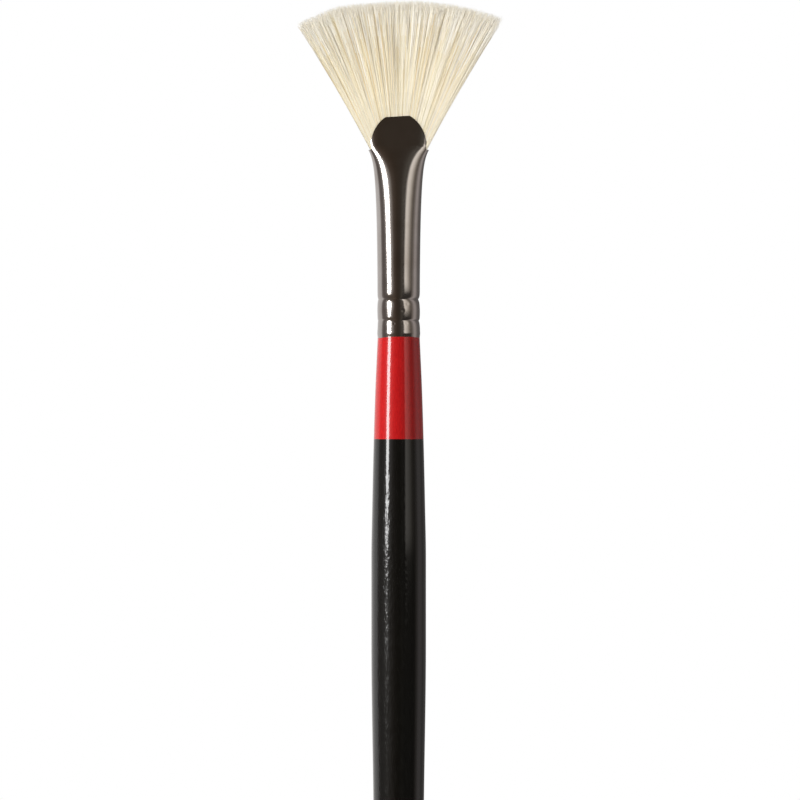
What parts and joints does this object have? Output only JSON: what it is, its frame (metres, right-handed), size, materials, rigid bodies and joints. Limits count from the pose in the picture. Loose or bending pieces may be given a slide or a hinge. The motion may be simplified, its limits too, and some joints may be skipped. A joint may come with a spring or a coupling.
{
  "type": "fan paint brush",
  "caption": "Long-handled artist's fan brush: bristle fan in a crimped, dome-mouthed metal ferrule on a lacquered wooden handle.",
  "frame": {"origin": "on the brush's axis, in the middle of the straight stretch of the handle's belly, where the brush is held", "axes": "+Z along the brush towards the bristle tips, +X across the fan, +Y through the fan's thickness"},
  "size_m": [0.0304, 0.0082, 0.3104],
  "materials": {
    "handle_wood": "turned birch, sealed under the lacquer",
    "primer": "matte sealing coat",
    "black_lacquer": "glossy black lacquer",
    "red_lacquer": "glossy deep red lacquer",
    "dark_nickel": "polished dark nickel plate on formed brass",
    "adhesive": "cured handle glue",
    "epoxy": "cured clear amber epoxy",
    "thread": "twisted binding thread",
    "bristle": "natural bleached hog bristle with flagged tips"
  },
  "bodies": {
    "handle": {"handle_core": "handle_wood", "sealing_coat": "primer", "black_lacquer": "black_lacquer", "red_lacquer": "red_lacquer", "ferrule": "dark_nickel", "handle_adhesive": "adhesive", "root_epoxy": "epoxy", "binding_thread": "thread", "bristle_roots": "bristle"},
    "bristles": {"bristle_fan": "bristle"}
  },
  "joints": [
    {"name": "bristle_flex", "type": "hinge", "parent": "handle", "child": "bristles", "pos_m": [0, 0, 0.0736], "axis": [1, 0, 0], "range_deg": [-40, 40], "stiffness_Nm_per_rad": 0.01}
  ]
}
